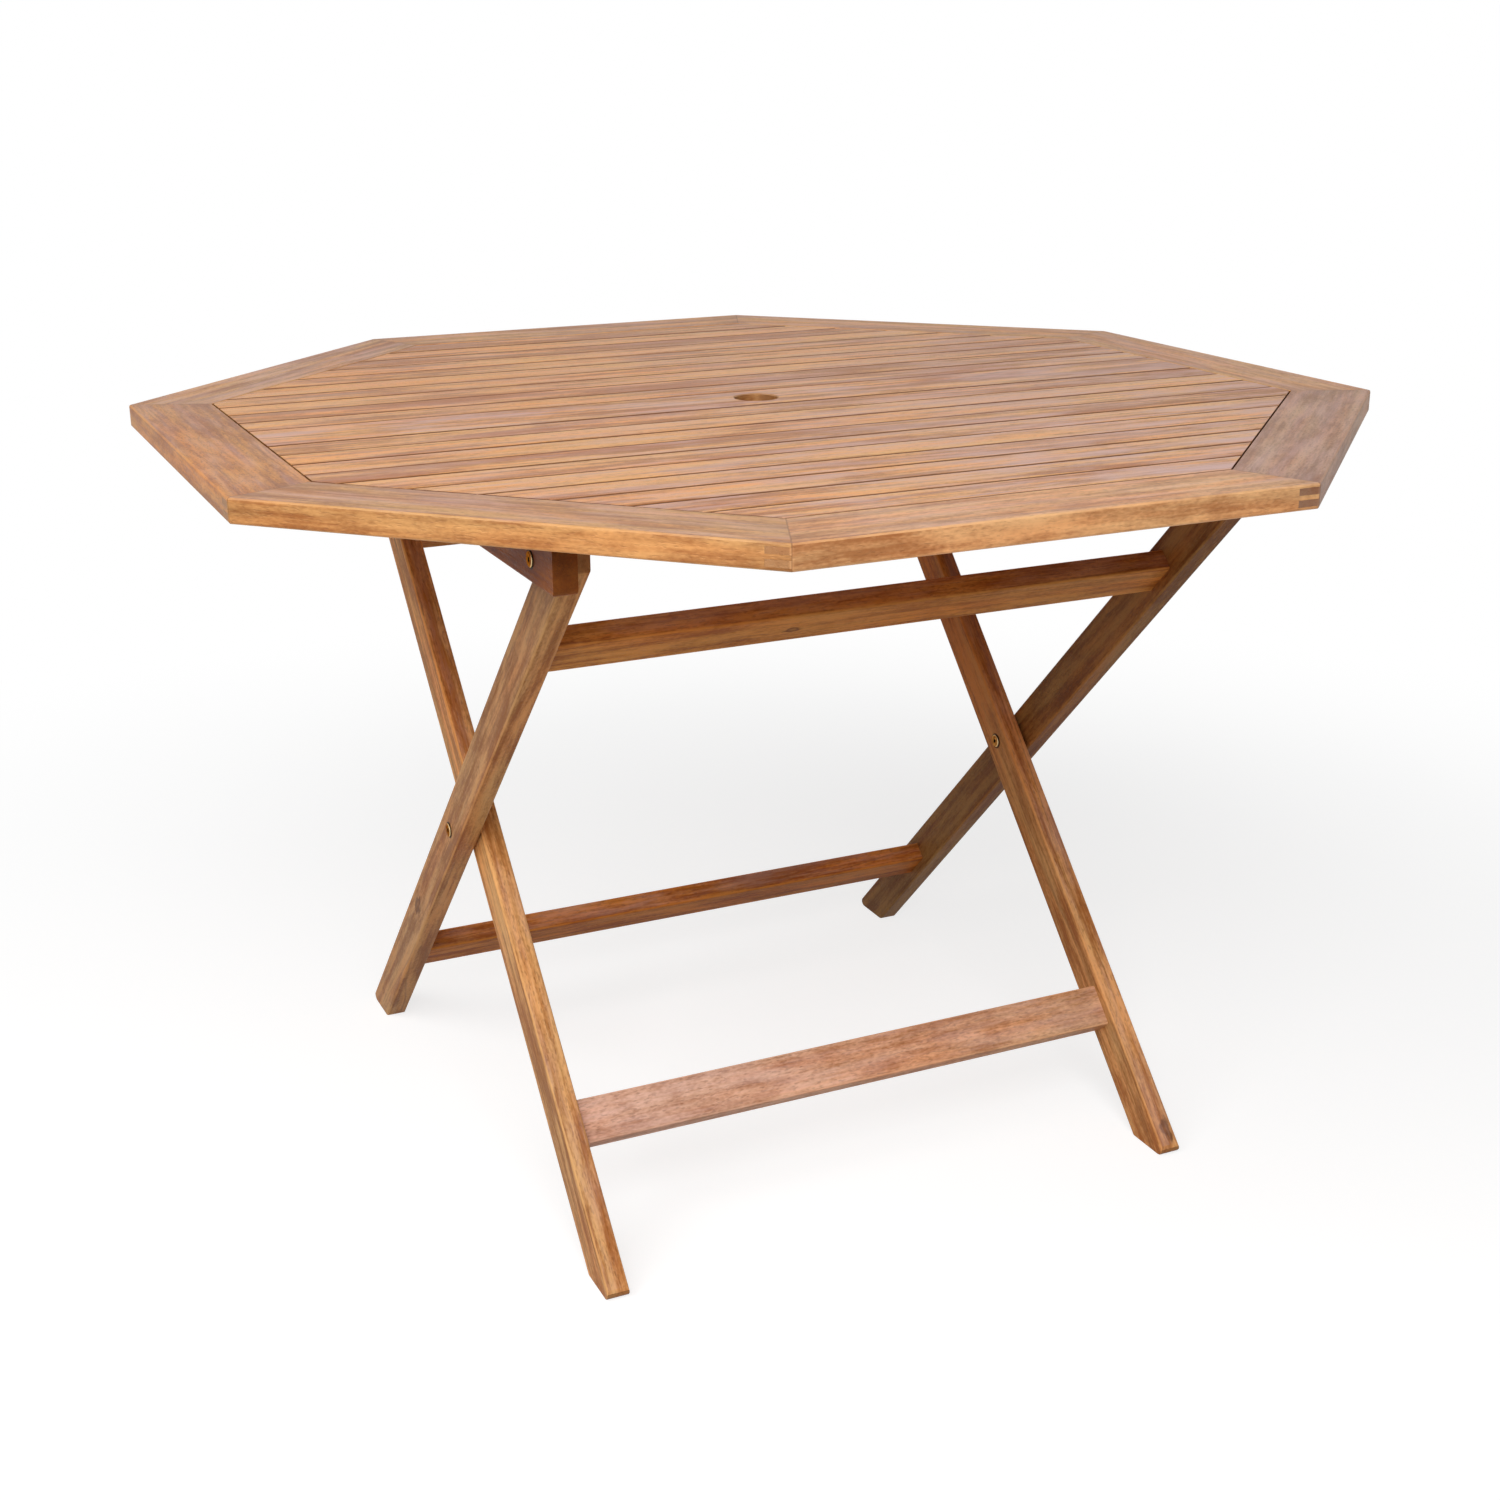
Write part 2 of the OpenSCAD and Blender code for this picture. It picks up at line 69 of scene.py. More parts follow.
# How each board looks at its near or lower end and at its far or upper end: its tone (1 is the
# mean wood, less is darker) and its warmth (golden red above 0, mauve below). Besides the board's
# own colour these hold painted shade: the battens, the outer rails, the right outer leg and the
# upper end of the right inner leg are darker and more golden as painted shade under the top, with
# its warm bounce light. Then how much of it the dry haze and painted sheen cover where it faces
# up, and how strong its figure is
BOARDS = {
    "rim_front": ((1.02, -0.4), (1.01, -0.4), 0.4, 0.45),
    "rim_front_right": ((0.71, -0.8), (0.69, -1.0), 0.45, 0.6),
    "rim_right": ((0.91, -0.2), (0.91, -0.2), 0.45, 0.45),
    "rim_back_right": ((0.91, 0.0), (0.91, 0.0), 0.45, 0.6),
    "rim_back": ((0.91, 0.0), (0.91, 0.0), 0.45, 0.6),
    "rim_back_left": ((0.82, 0.0), (0.85, -0.1), 0.55, 0.8),
    "rim_left": ((0.78, 0.6), (0.76, 0.5), 0.35, 0.55),
    "rim_front_left": ((0.84, -0.1), (0.8, 0.0), 0.45, 0.45),
    "slat_centre": ((1.02, 0.2), (1.03, -0.2), 0.8, 1.0),
    "batten_left": ((0.39, 2.1), (0.39, 2.1), 0.0, 0.6),
    "batten_right": ((0.43, 1.0), (0.43, 1.0), 0.0, 0.6),
    "outer_leg_left": ((0.71, -0.2), (0.8, -0.25), 0.3, 0.6),
    "outer_leg_right": ((0.43, 0.2), (0.43, 0.3), 0.3, 0.6),
    "outer_upper_rail": ((0.77, 0.7), (0.77, 0.7), 0.3, 0.6),
    "outer_lower_rail": ((0.7, 1.1), (0.7, 1.35), 0.3, 0.6),
    "inner_leg_left": ((0.9, -0.2), (1.12, 0.1), 0.3, 0.6),
    "inner_leg_right": ((0.94, -0.2), (0.66, 1.4), 0.3, 0.6),
    "inner_upper_rail": ((0.8, 0.6), (0.8, 0.6), 0.3, 0.6),
    "inner_lower_rail": ((1.08, -1.25), (1.03, -0.75), 0.35, 0.3),
}
# What one step of warmth multiplies a board's red, green and blue by, each way
GOLDEN = (1.05, 0.8, 0.5)
MAUVE = (0.94, 1.06, 1.9)
# The first number of each group of boards, which picks where in the log they were cut
RIM_NUMBER, BATTEN_NUMBER, LEG_NUMBER, CENTRE_NUMBER, DOWEL_NUMBER = 31.0, 51.0, 62.0, 77.0, 91.0
# Knots: the board, the place on it and the width across the grain
KNOTS = {
    "outer_leg_left": ((-0.326, 0.1334, 0.1995), 0.009),
    "inner_leg_right": ((0.294, -0.321, 0.020), 0.008),
    "outer_upper_rail": ((-0.0785, -0.2418, 0.5603), 0.005),
}
NO_KNOT = ((9, 9, 9), MM)
HALF_MITRE = math.radians(22.5)
# How far from the middle of the top, in mm, the hole's wall gives way to the boards
HOLE_FADE = (25.0, 29.0)
TONGUE_T = 6 * MM
THREAD_PITCH = 1.8 * MM
SCREW_RECESS_W = 1.0 * MM
SCREW_RECESS_DEPTH = 2.8 * MM
FLOOR_HALF = 40.0
FLOOR_BELOW = 0.5 * MM

MATHS = "ShaderNodeMath"
VECTORS = "ShaderNodeVectorMath"
NOISE = "ShaderNodeTexNoise"
RANGE = "ShaderNodeMapRange"
MIX = "ShaderNodeMix"
SPLIT = "ShaderNodeSeparateXYZ"
JOIN = "ShaderNodeCombineXYZ"
SOFT = {"interpolation_type": "SMOOTHSTEP"}
TIMES = {"operation": "MULTIPLY"}
TIMES_PLUS = {"operation": "MULTIPLY_ADD"}


def linear(code):
    """An sRGB hex colour as the linear RGBA that Blender's sockets take."""
    channels = [int(code[k:k + 2], 16) / 255 for k in (1, 3, 5)]
    return [c / 12.92 if c <= 0.04045 else ((c + 0.055) / 1.055) ** 2.4 for c in channels] + [1.0]


WHITE = linear("#ffffff")


def add(tree, kind, *values, **settings):
    """Adds a node with its settings, and sets or links its inputs, in order or by a dict of names.

    A node given as a value is linked from its first output, and None leaves an input as it is.
    """
    node = tree.nodes.new(kind)
    for name, value in settings.items():
        setattr(node, name, value)
    pairs = list(zip([socket for socket in node.inputs if socket.enabled], values))
    if values and isinstance(values[0], dict):
        pairs = [(node.inputs[name], value) for name, value in values[0].items()]
    for socket, value in pairs:
        if isinstance(value, bpy.types.Node):
            value = next(output for output in value.outputs if output.enabled)
        if isinstance(value, bpy.types.NodeSocket):
            tree.links.new(value, socket)
        elif value is not None:
            socket.default_value = value
    return node


def new_tree(name, kind, inputs, outputs):
    """A node tree with the given sockets, and its input and output nodes."""
    tree = bpy.data.node_groups.new(name, kind)
    for direction, sockets in (("INPUT", inputs), ("OUTPUT", outputs)):
        for label, type_name in sockets.items():
            tree.interface.new_socket(name=label, in_out=direction,
                                      socket_type="NodeSocket" + type_name)
    return tree, add(tree, "NodeGroupInput").outputs


def seen_directly(put):
    """1 for the rays that show a thing in the picture, 0 for those that only carry its light."""
    path = put("ShaderNodeLightPath").outputs
    seen = put(MATHS, path["Is Camera Ray"], path["Is Glossy Ray"], operation="MAXIMUM")
    return put(MATHS, seen, path["Is Transmission Ray"], operation="MAXIMUM")


def new_material(name):
    """A material with an empty node tree."""
    material = bpy.data.materials.new(name)
    material.use_nodes = True
    material.node_tree.nodes.clear()
    return material


# ---- Settings that a user would change


class TableWood(bpy.types.PropertyGroup):
    """Colours and grain of the oiled wood."""

    wood: FloatVectorProperty(
        name="Oiled wood", description="Mean colour of the oiled wood", subtype="COLOR", size=4,
        min=0, max=1, default=linear("#cc9456"))
    streak: FloatVectorProperty(
        name="Streaks", description="Thin dark veins, open pores and cut ends", subtype="COLOR",
        size=4, min=0, max=1, default=linear("#643818"))
    # The haze colour serves both dry oil and a painted sheen on faces that look up
    haze_and_sheen: FloatVectorProperty(
        name="Oil haze", description="Dry whitish patches in the oil", subtype="COLOR", size=4,
        min=0, max=1, default=linear("#dcb9b2"))
    ring: FloatProperty(
        name="Ring spacing", description="Mean width of a growth ring across the board",
        subtype="DISTANCE", unit="LENGTH", min=0.002, max=0.02, default=0.009)
    pore: FloatProperty(
        name="Pore width", description="Width of an open pore, as coarse as the picture shows it",
        subtype="DISTANCE", unit="LENGTH", min=0.0003, max=0.003, default=0.0011)


class TableTop(bpy.types.PropertyGroup):
    """Sizes of the slats and of the batten screws."""

    slats_per_side: IntProperty(
        name="Slats per side", description="Narrow slats on each side of the wide middle one",
        min=1, max=20, default=sum(name.startswith("slat_front_") for name in NODES))
    slat_rounding: FloatProperty(
        name="Slat rounding", description="Rounding of a slat's long edges", subtype="DISTANCE",
        unit="LENGTH", min=0.0005, max=0.004, default=0.0017)
    slat_unevenness: FloatProperty(
        name="Unevenness", description="How far a slat may lie below its neighbours",
        subtype="DISTANCE", unit="LENGTH", min=0, max=0.001, default=0.0003)
    screw_diameter: FloatProperty(
        name="Screw diameter", description="Shank of the batten screws", subtype="DISTANCE",
        unit="LENGTH", min=0.003, max=0.006, default=0.004)
    screw_head: FloatProperty(
        name="Screw head", description="Head diameter of the batten screws", subtype="DISTANCE",
        unit="LENGTH", min=0.005, max=0.01, default=0.0075)


class TableStage(bpy.types.PropertyGroup):
    """Camera, floor and light."""

    camera_place: FloatVectorProperty(
        name="Camera place", description="Where the camera stands", subtype="TRANSLATION",
        unit="LENGTH", size=3, default=(-0.8423, -1.8201, 1.0612))
    camera_turn: FloatProperty(
        name="Camera turn", description="Heading of the view, clockwise from +Y", subtype="ANGLE",
        unit="ROTATION", default=math.radians(24.61))
    camera_dip: FloatProperty(
        name="Camera dip", description="How far the view looks down", subtype="ANGLE",
        unit="ROTATION", default=math.radians(19.22))
    camera_roll: FloatProperty(
        name="Camera roll", description="Turn of the picture about the view", subtype="ANGLE",
        unit="ROTATION", default=math.radians(0.33))
    camera_lens: FloatProperty(
        name="Lens", description="Focal length in millimetres on a 36 mm square sensor",
        min=20, max=120, default=50.26)
    floor: FloatVectorProperty(
        name="Floor", description="Paint of the floor in the picture, before its glow",
        subtype="COLOR", size=4, min=0, max=1, default=linear("#a4a4a4"))
    key: FloatProperty(
        name="Key light", description="Power of the large lamp in front", subtype="POWER",
        unit="POWER", min=0, max=1000, default=118)
    side: FloatProperty(
        name="Side light", description="Power of the large lamp on the left", subtype="POWER",
        unit="POWER", min=0, max=1000, default=62)
    overhead: FloatProperty(
        name="Overhead light", description="Strength of the soft light from straight above, which "
        "fades towards the horizon", min=0, max=2, default=0.17)
    horizon: FloatProperty(
        name="Horizon light", description="Strength of the soft light from the horizon", min=0,
        max=2, default=0.05)
    glow: FloatProperty(
        name="Floor glow", description="Light added to the floor in the picture, which keeps only "
        "the deeper part of the table's shadow", min=0, max=1, default=0.74)


# ---- The wood


def acacia_group():
    """Oiled acacia in board axes: x along the grain, y across the face and z through it, in mm.

    The growth bands are noise round a pith that lies outside the board and slopes a little along
    it, so some boards show plain lines and others long arches. Fibres and pores are drawn along
    x, and show as dots where the board is cut across.
    """
    wood = bpy.context.scene.garden_table_wood
    streak, haze_and_sheen, pore = list(wood.streak), list(wood.haze_and_sheen), wood.pore / MM
    tree, given = new_tree("Oiled acacia", "ShaderNodeTree", {
        "Place": "Vector", "Face": "Vector", "Up": "Float", "Board": "Float",
        "Wood": "Color", "Far wood": "Color", "Haze share": "Float", "Figure": "Float",
        "Seam": "Float", "Board contrast": "Float", "Knot": "Vector", "Knot width": "Float",
    }, {"Color": "Color", "Roughness": "Float", "Height": "Float"})
    put = functools.partial(add, tree)

    # Where in its log this board was cut, and how dark it turned out
    chance = put("ShaderNodeTexWhiteNoise", given["Board"], noise_dimensions="1D").outputs
    spot = put(SPLIT, chance["Color"]).outputs
    log = put(VECTORS, chance["Color"], (3000, 500, 500), **TIMES)
    place = put(VECTORS, given["Place"], log, operation="ADD")
    here = put(SPLIT, given["Place"]).outputs
    board_tone = put(MATHS, chance["Value"], 0.5, operation="SUBTRACT")
    board_tone = put(MATHS, board_tone, given["Board contrast"], **TIMES)

    # Noise fields round 0: their periods along, across and through the board in mm, how many
    # octaves they have and how rough they are. Fibres, specks and pores are finer than a pixel of
    # the picture, so they are drawn about 2 mm wide
    fields = {
        "wander": ((420, 120, 120), 1, 0.5),
        "ripple": ((110, 30, 30), 2, 0.5),
        "fibre": ((40, 2.4, 2.4), 3, 0.65),
        "strand": ((130, 7, 7), 2, 0.5),
        "speckle": ((5, 2.2, 2.2), 1, 0.5),
        "pores": ((6 * pore, 1.6 * pore, 1.6 * pore), 1, 0.5),
        "drift": ((170, 30, 30), 2, 0.5),
        "mottle": ((34, 13, 13), 3, 0.6),
        "patch": ((110, 16, 16), 4, 0.65),
        "hue": ((210, 24, 24), 3, 0.55),
        "knot": ((9, 5, 5), 2, 0.5),
    }
    noise = {}
    for name, (periods, octaves, rough) in fields.items():
        scaled = put(VECTORS, place, [1 / period for period in periods], **TIMES)
        noise[name] = put(MATHS, put(NOISE, scaled, 1.0, octaves, rough), 0.5,
                          operation="SUBTRACT")

    # How far from the knot's middle, in knot widths; the knot pushes the bands aside
    knot = put(VECTORS, given["Place"], given["Knot"], operation="SUBTRACT")
    knot = put(VECTORS, knot, (0.5, 1, 1), **TIMES)
    knot = put(VECTORS, knot, operation="LENGTH")
    knot = put(MATHS, knot, given["Knot width"], operation="DIVIDE")
    knot = put(MATHS, noise["knot"], 1.3, knot, **TIMES_PLUS)
    push = put(RANGE, knot, 4.0, 0.5, 0.0, given["Knot width"], **SOFT)

    # Distance from the pith, bent by the way the tree grew, as a number of rings
    slope = put(MATHS, spot[2], 0.09, -0.045, **TIMES_PLUS)
    pith_y = put(MATHS, spot[0], 110.0, -55.0, **TIMES_PLUS)
    pith_y = put(MATHS, here[0], slope, pith_y, **TIMES_PLUS)
    pith_z = put(RANGE, spot[1], 0.0, 1.0, 25.0, 110.0)
    off_y = put(MATHS, here[1], pith_y, operation="SUBTRACT")
    off_y = put(MATHS, noise["ripple"], 9.0, off_y, **TIMES_PLUS)
    off_z = put(MATHS, here[2], pith_z, operation="ADD")
    from_pith = put(VECTORS, put(JOIN, 0.0, off_y, off_z), operation="LENGTH")
    ring = put(MATHS, noise["wander"], 60.0, from_pith, **TIMES_PLUS)
    ring = put(MATHS, ring, push, operation="ADD")
    ring = put(MATHS, ring, wood.ring / MM, operation="DIVIDE")
    turn = put(MATHS, given["Board"], 7.31, **TIMES)
    ring_place = put(JOIN, ring, put(MATHS, here[0], 520.0, operation="DIVIDE"), turn)
    bands = put(MATHS, put(NOISE, ring_place, 1.0, 4.0, 0.6), 0.5, operation="SUBTRACT")

    # The level of the grain is a weighted sum of bands, strands, fibres and slow drifts
    level = bands
    for name, weight in (("drift", 1.0), ("strand", 1.0), ("fibre", 0.75)):
        level = put(MATHS, noise[name], weight, level, **TIMES_PLUS)
    level = put(MATHS, level, given["Figure"], board_tone, **TIMES_PLUS)
    for name, weight in (("mottle", 0.4), ("speckle", 0.25)):
        level = put(MATHS, noise[name], weight, level, **TIMES_PLUS)
    far = put(RANGE, here[0], -300.0, 300.0, 0.0, 1.0, **SOFT)
    mean = put(MIX, far, given["Wood"], given["Far wood"], data_type="RGBA")
    reddish = put(VECTORS, mean, (1.06, 0.9, 0.8), **TIMES)
    blushing = put(RANGE, noise["hue"], -0.12, 0.16, 0.0, 1.0, **SOFT)
    mean = put(MIX, blushing, mean, reddish, data_type="RGBA")
    pale = put(VECTORS, mean, (1.38, 1.52, 1.75), **TIMES)
    deep = put(VECTORS, mean, (0.66, 0.52, 0.42), **TIMES)
    graded = put(RANGE, level, -0.22, 0.22, 0.0, 1.0, **SOFT)
    colour = put(MIX, graded, deep, pale, data_type="RGBA")

    # Long dark veins, open pores and the knot, each a share of the streak colour
    vein_place = put(VECTORS, ring_place, (2.86, 0.77, 1.0), **TIMES)
    veins = put(RANGE, put(NOISE, vein_place, 1.0, 2.0), 0.63, 0.74, 0.0, 0.5, **SOFT)
    veins = put(MATHS, veins, given["Figure"], **TIMES)
    pores = put(RANGE, noise["pores"], -0.05, -0.2, 0.0, 1.0, **SOFT)
    lying = put(RANGE, given["Up"], 0.3, 0.8, 0.0, 1.0, **SOFT)
    open_pores = put(MATHS, pores, put(MATHS, lying, 0.2, 0.13, **TIMES_PLUS), **TIMES)
    heart = put(RANGE, knot, 0.1, 0.6, 0.45, 0.85, **SOFT)
    knotty = put(MATHS, put(RANGE, knot, 1.0, 0.55, 0.0, 1.0, **SOFT), heart, **TIMES)
    for share in (veins, open_pores, knotty):
        colour = put(MIX, share, colour, streak, data_type="RGBA")

    # Whitish haze where the wood faces up: partly dry oil and partly a painted sheen
    haze_and_sheen_cover = put(MATHS, noise["fibre"], 0.35, noise["patch"], **TIMES_PLUS)
    haze_and_sheen_cover = put(RANGE, haze_and_sheen_cover, -0.14, 0.22, 0.0, given["Haze share"], **SOFT)
    haze_and_sheen_cover = put(MATHS, haze_and_sheen_cover, lying, **TIMES)
    colour = put(MIX, haze_and_sheen_cover, colour, haze_and_sheen, data_type="RGBA")

    # Paler arrises, partly sanded wear and partly a painted highlight where the light catches
    # them, darker cut ends, and painted shade on the sides that face a gap, half as much of it in
    # the hole at the middle of the top
    sides = put(SPLIT, put(VECTORS, given["Face"], operation="ABSOLUTE")).outputs
    flat = put(MATHS, sides[0], sides[1], operation="MAXIMUM")
    flat = put(MATHS, flat, sides[2], operation="MAXIMUM")
    edge_wear_and_highlight = put(RANGE, noise["mottle"], -0.25, 0.1, 0.25, 0.75, **SOFT)
    arris = put(RANGE, flat, 0.985, 0.9, 0.0, edge_wear_and_highlight, **SOFT)
    colour = put(MIX, arris, colour, pale, data_type="RGBA")
    cut_end = put(RANGE, sides[0], 0.4, 0.85, 0.0, 0.65, **SOFT)
    # Painted shade on the sides that face a gap
    painted_crevice_shade = put(RANGE, sides[1], 0.15, 0.65, 0.0, given["Seam"], **SOFT)
    off_middle = put(VECTORS, put(JOIN, here[0], here[1]), operation="LENGTH")
    painted_crevice_shade = put(MATHS, painted_crevice_shade, put(RANGE, off_middle, *HOLE_FADE, 0.5, 1.0), **TIMES)
    for share in (cut_end, painted_crevice_shade):
        colour = put(MIX, share, colour, streak, data_type="RGBA")

    rough = put(RANGE, noise["fibre"], -0.2, 0.2, 0.42, 0.56)
    rough = put(MATHS, haze_and_sheen_cover, 0.15, rough, **TIMES_PLUS)
    height = put(MATHS, noise["fibre"], bands, operation="ADD")
    height = put(MATHS, height, pores, operation="SUBTRACT")
    put("NodeGroupOutput", {"Color": colour.outputs[2], "Roughness": rough, "Height": height})
    return tree


def board_wood(tone, warmth):
    """The mean colour of a board of the given tone and warmth."""
    hue = GOLDEN if warmth > 0 else MAUVE
    mean = bpy.context.scene.garden_table_wood.wood
    return [c * tone * h ** abs(warmth) for c, h in zip(mean, hue)] + [1.0]


def oiled_acacia(name, number, near, far, haze_and_sheen, figure=1.0, centre=(0, 0, 0), along=(1, 0, 0),
                 across=(0, 1, 0), mitred=False, gap_shade=0.0, gloss=0.4, ring=None):
    """Planed and oiled acacia for one board: satin, streaky, with a soft sheen and open pores."""
    material = new_material("oiled_acacia_" + name)
    tree = material.node_tree
    put = functools.partial(add, tree)
    axes = Matrix((Vector(along), Vector(across), Vector(along).cross(Vector(across))))
    turn = axes.transposed().to_euler()
    coordinates = put("ShaderNodeTexCoord").outputs
    place = put("ShaderNodeMapping", coordinates["Object"], centre, turn, (MM, MM, MM),
                vector_type="TEXTURE")
    face = put("ShaderNodeMapping", coordinates["Normal"], None, turn, vector_type="TEXTURE")
    contrast = 0.0
    if number is None:
        number = put("ShaderNodeAttribute", attribute_name="board").outputs["Fac"]
        contrast = 0.34
        # The share of haze, dry oil and painted sheen, grows towards the right and the front
        across_top = put(VECTORS, place, (0.7, -0.7, 0.0), operation="DOT_PRODUCT")
        haze_and_sheen = put(RANGE, across_top, -250.0, 450.0, haze_and_sheen * 0.45, haze_and_sheen * 1.3)
    knot, knot_width = KNOTS.get(name, NO_KNOT)
    group = put("ShaderNodeGroup", {
        "Place": place, "Face": face, "Up": put(SPLIT, coordinates["Normal"]).outputs[2],
        "Board": number, "Wood": board_wood(*near), "Far wood": board_wood(*far),
        "Haze share": haze_and_sheen, "Figure": figure, "Seam": gap_shade, "Board contrast": contrast,
        "Knot": axes @ (Vector(knot) - Vector(centre)) / MM, "Knot width": knot_width / MM,
    }, node_tree=bpy.data.node_groups.get("Oiled acacia") or acacia_group()).outputs
    colour = group["Color"]
    streak = list(bpy.context.scene.garden_table_wood.streak)
    if mitred:
        # The cut ends at a mitre drink more oil, and dirt fills the joint
        row = put(SPLIT, place).outputs
        off = put(MATHS, row[0], operation="ABSOLUTE")
        off = put(MATHS, row[1], -math.tan(HALF_MITRE), off, **TIMES_PLUS)
        off = put(MATHS, off, operation="ABSOLUTE")
        line = put(RANGE, off, 1.0, 0.45, 0.0, 0.5)
        soaked = put(RANGE, off, 49.0, 0.0, 0.0, 0.14, **SOFT)
        share = put(MATHS, line, soaked, operation="MAXIMUM")
        colour = put(MIX, share, colour, streak, data_type="RGBA")
    if ring:
        # A thin dark ring round the bolt heads: painted contact shadow, with the wood also pressed
        # and soiled there
        bolt, head_radius = ring
        off = put(VECTORS, coordinates["Object"], bolt, operation="SUBTRACT")
        off = put(VECTORS, off, (0, 1, 1), **TIMES)
        off = put(VECTORS, off, operation="LENGTH")
        share = put(RANGE, off, head_radius + 2.2 * MM, head_radius + 1.0 * MM, 0.0, 0.9, **SOFT)
        colour = put(MIX, share, colour, linear("#2a1709"), data_type="RGBA")
    bump = put("ShaderNodeBump", {"Strength": 0.5, "Distance": 0.0004, "Height": group["Height"]})
    shader = put("ShaderNodeBsdfPrincipled", {
        "Base Color": colour, "Roughness": group["Roughness"], "Normal": bump, "IOR": 1.45,
        "Specular IOR Level": gloss})
    put("ShaderNodeOutputMaterial", shader)
    return material


def metal(name, colour, tarnish, edge_wear_and_highlight, edge, roughness, grain):
    """Plated steel: the plating's colour, tarnished in cloudy patches and bright on its bevels,
    partly from wear and partly as a painted highlight.

    The edge colour is what it reflects at a grazing angle.
    """
    material = new_material(name)
    put = functools.partial(add, material.node_tree)
    coordinates = put("ShaderNodeTexCoord").outputs
    cloud = put(NOISE, coordinates["Object"], 1 / grain, 3.0)
    scratch = put(NOISE, coordinates["Object"], 5 / grain, 2.0)
    tint = put(MIX, put(RANGE, cloud, 0.35, 0.65, 0.0, 1.0, **SOFT), linear(tarnish),
               linear(colour), data_type="RGBA")
    # The heads' flat faces look along x, their bevels half along it. Their rims and the walls of
    # the hexagonal recess look across it, and painted shade darkens them there
    facing = put(MATHS, put(SPLIT, coordinates["Normal"]), operation="ABSOLUTE")
    bevel = put(RANGE, facing, 0.95, 0.75, 0.0, 0.7)
    painted_crevice_shade = put(RANGE, facing, 0.5, 0.3, 0.0, 0.8)
    tint = put(MIX, bevel, tint, linear(edge_wear_and_highlight), data_type="RGBA")
    tint = put(MIX, painted_crevice_shade, tint, linear("#1c130b"), data_type="RGBA")
    dull = put(RANGE, cloud, 0.3, 0.7, roughness + 0.12, roughness - 0.08)
    bump = put("ShaderNodeBump", {"Strength": 0.2, "Distance": 0.0002, "Height": scratch})
    shader = put("ShaderNodeBsdfPrincipled", {
        "Base Color": tint, "Roughness": dull, "Normal": bump, "Metallic": 1.0,
        "Specular Tint": linear(edge)})
    put("ShaderNodeOutputMaterial", shader)
    return material


def finish(node, material):
    """Gives a CAD node one material over its whole surface."""
    mesh = NODES[node].data
    mesh.materials.clear()
    mesh.materials.append(material)


def middle(node):
    """The middle of a CAD node's box."""
    low, high = (Vector(corner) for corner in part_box(node))
    return (low + high) / 2


def head_radius():
    """The radius of the bolt heads."""
    low, high = (Vector(corner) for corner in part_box("crossing_bolts"))
    return (high.z - low.z) / 2


def realized(name, tree, values, body, points=None):
    """Runs a geometry-node tree on an empty mesh or on points, and returns its plain mesh."""
    mesh = bpy.data.meshes.new(name + "_seed")
    mesh.from_pydata(points or [], [], [])
    seed = bpy.data.objects.new(name + "_seed", mesh)
    bpy.context.scene.collection.objects.link(seed)
    modifier = seed.modifiers.new(name, "NODES")
    modifier.node_group = tree
    named = {item.name: item.identifier for item in tree.interface.items_tree
             if item.item_type == "SOCKET" and item.in_out == "INPUT"}
    for label, value in values.items():
        modifier[named[label]] = value
    seen = seed.evaluated_get(bpy.context.evaluated_depsgraph_get())
    result = bpy.data.meshes.new_from_object(seen)
    result.name = name
    for slot in reversed(range(len(result.materials))):
        if result.materials[slot] is None:
            result.materials.pop(index=slot)
    piece = bpy.data.objects.new(name, result)
    bpy.context.scene.collection.objects.link(piece)
    seed.modifiers.remove(modifier)
    bpy.data.objects.remove(seed)
    bpy.data.meshes.remove(mesh)
    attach(piece, body)
    return piece


# ---- Trees for what repeats


